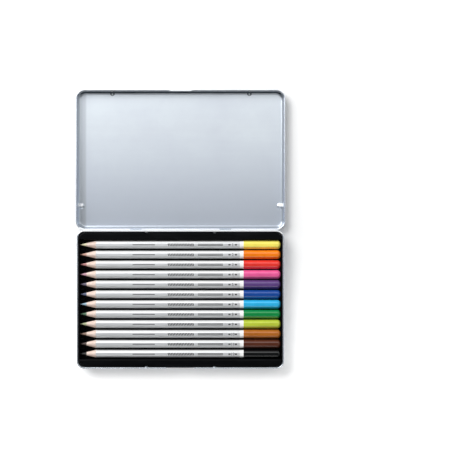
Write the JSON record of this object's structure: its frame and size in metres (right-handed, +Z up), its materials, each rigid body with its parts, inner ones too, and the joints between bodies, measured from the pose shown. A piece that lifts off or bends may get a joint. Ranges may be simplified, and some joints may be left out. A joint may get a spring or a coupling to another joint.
{
  "type": "watercolor pencil set",
  "caption": "Flat hinged tin lying open, with a formed plastic tray whose grooves hold a row of hexagonal watercolor pencils with dipped coloured ends.",
  "frame": {"origin": "centre of the tin base's underside", "axes": "+X along the pencils towards their dipped ends, +Y towards the hinge and the open lid, +Z up"},
  "size_m": [0.183, 0.2435, 0.0115],
  "materials": {
    "tinplate": "bare rolled tinplate",
    "tray_plastic": "satin black formed plastic",
    "hinge_wire": "drawn steel wire",
    "casing_wood": "silver grey lacquer on the barrel, bare sanded wood on the cone",
    "yellow_lead": "matt pigmented lead",
    "yellow_lacquer": "gloss dipped lacquer",
    "orange_lead": "matt pigmented lead",
    "orange_lacquer": "gloss dipped lacquer",
    "red_lead": "matt pigmented lead",
    "red_lacquer": "gloss dipped lacquer",
    "pink_lead": "matt pigmented lead",
    "pink_lacquer": "gloss dipped lacquer",
    "violet_lead": "matt pigmented lead",
    "violet_lacquer": "gloss dipped lacquer",
    "dark_blue_lead": "matt pigmented lead",
    "dark_blue_lacquer": "gloss dipped lacquer",
    "light_blue_lead": "matt pigmented lead",
    "light_blue_lacquer": "gloss dipped lacquer",
    "green_lead": "matt pigmented lead",
    "green_lacquer": "gloss dipped lacquer",
    "lime_lead": "matt pigmented lead",
    "lime_lacquer": "gloss dipped lacquer",
    "ochre_lead": "matt pigmented lead",
    "ochre_lacquer": "gloss dipped lacquer",
    "brown_lead": "matt pigmented lead",
    "brown_lacquer": "gloss dipped lacquer",
    "black_lead": "matt pigmented lead",
    "black_lacquer": "gloss dipped lacquer"
  },
  "bodies": {
    "tin": {"tin_base": "tinplate"},
    "lid": {"tin_lid": "tinplate", "hinge_pin_left": "hinge_wire", "hinge_pin_right": "hinge_wire"},
    "tray": {"pencil_tray": "tray_plastic"},
    "yellow_pencil": {"yellow_upper_slat": "casing_wood", "yellow_lower_slat": "casing_wood", "yellow_lead": "yellow_lead", "yellow_dip_cap": "yellow_lacquer"},
    "orange_pencil": {"orange_upper_slat": "casing_wood", "orange_lower_slat": "casing_wood", "orange_lead": "orange_lead", "orange_dip_cap": "orange_lacquer"},
    "red_pencil": {"red_upper_slat": "casing_wood", "red_lower_slat": "casing_wood", "red_lead": "red_lead", "red_dip_cap": "red_lacquer"},
    "pink_pencil": {"pink_upper_slat": "casing_wood", "pink_lower_slat": "casing_wood", "pink_lead": "pink_lead", "pink_dip_cap": "pink_lacquer"},
    "violet_pencil": {"violet_upper_slat": "casing_wood", "violet_lower_slat": "casing_wood", "violet_lead": "violet_lead", "violet_dip_cap": "violet_lacquer"},
    "dark_blue_pencil": {"dark_blue_upper_slat": "casing_wood", "dark_blue_lower_slat": "casing_wood", "dark_blue_lead": "dark_blue_lead", "dark_blue_dip_cap": "dark_blue_lacquer"},
    "light_blue_pencil": {"light_blue_upper_slat": "casing_wood", "light_blue_lower_slat": "casing_wood", "light_blue_lead": "light_blue_lead", "light_blue_dip_cap": "light_blue_lacquer"},
    "green_pencil": {"green_upper_slat": "casing_wood", "green_lower_slat": "casing_wood", "green_lead": "green_lead", "green_dip_cap": "green_lacquer"},
    "lime_pencil": {"lime_upper_slat": "casing_wood", "lime_lower_slat": "casing_wood", "lime_lead": "lime_lead", "lime_dip_cap": "lime_lacquer"},
    "ochre_pencil": {"ochre_upper_slat": "casing_wood", "ochre_lower_slat": "casing_wood", "ochre_lead": "ochre_lead", "ochre_dip_cap": "ochre_lacquer"},
    "brown_pencil": {"brown_upper_slat": "casing_wood", "brown_lower_slat": "casing_wood", "brown_lead": "brown_lead", "brown_dip_cap": "brown_lacquer"},
    "black_pencil": {"black_upper_slat": "casing_wood", "black_lower_slat": "casing_wood", "black_lead": "black_lead", "black_dip_cap": "black_lacquer"}
  },
  "joints": [
    {"name": "lid_hinge", "type": "hinge", "parent": "tin", "child": "lid", "pos_m": [0, 0.06095, 0.00698], "axis": [-1, 0, 0], "range_deg": [-180, 0]},
    {"name": "tray_lift", "type": "slide", "parent": "tin", "child": "tray", "axis": [0, 0, 1], "range_m": [0, 0.03]},
    {"name": "yellow_pencil_lift", "type": "slide", "parent": "tray", "child": "yellow_pencil", "axis": [0, 0, 1], "range_m": [0, 0.04]},
    {"name": "orange_pencil_lift", "type": "slide", "parent": "tray", "child": "orange_pencil", "axis": [0, 0, 1], "range_m": [0, 0.04]},
    {"name": "red_pencil_lift", "type": "slide", "parent": "tray", "child": "red_pencil", "axis": [0, 0, 1], "range_m": [0, 0.04]},
    {"name": "pink_pencil_lift", "type": "slide", "parent": "tray", "child": "pink_pencil", "axis": [0, 0, 1], "range_m": [0, 0.04]},
    {"name": "violet_pencil_lift", "type": "slide", "parent": "tray", "child": "violet_pencil", "axis": [0, 0, 1], "range_m": [0, 0.04]},
    {"name": "dark_blue_pencil_lift", "type": "slide", "parent": "tray", "child": "dark_blue_pencil", "axis": [0, 0, 1], "range_m": [0, 0.04]},
    {"name": "light_blue_pencil_lift", "type": "slide", "parent": "tray", "child": "light_blue_pencil", "axis": [0, 0, 1], "range_m": [0, 0.04]},
    {"name": "green_pencil_lift", "type": "slide", "parent": "tray", "child": "green_pencil", "axis": [0, 0, 1], "range_m": [0, 0.04]},
    {"name": "lime_pencil_lift", "type": "slide", "parent": "tray", "child": "lime_pencil", "axis": [0, 0, 1], "range_m": [0, 0.04]},
    {"name": "ochre_pencil_lift", "type": "slide", "parent": "tray", "child": "ochre_pencil", "axis": [0, 0, 1], "range_m": [0, 0.04]},
    {"name": "brown_pencil_lift", "type": "slide", "parent": "tray", "child": "brown_pencil", "axis": [0, 0, 1], "range_m": [0, 0.04]},
    {"name": "black_pencil_lift", "type": "slide", "parent": "tray", "child": "black_pencil", "axis": [0, 0, 1], "range_m": [0, 0.04]}
  ]
}
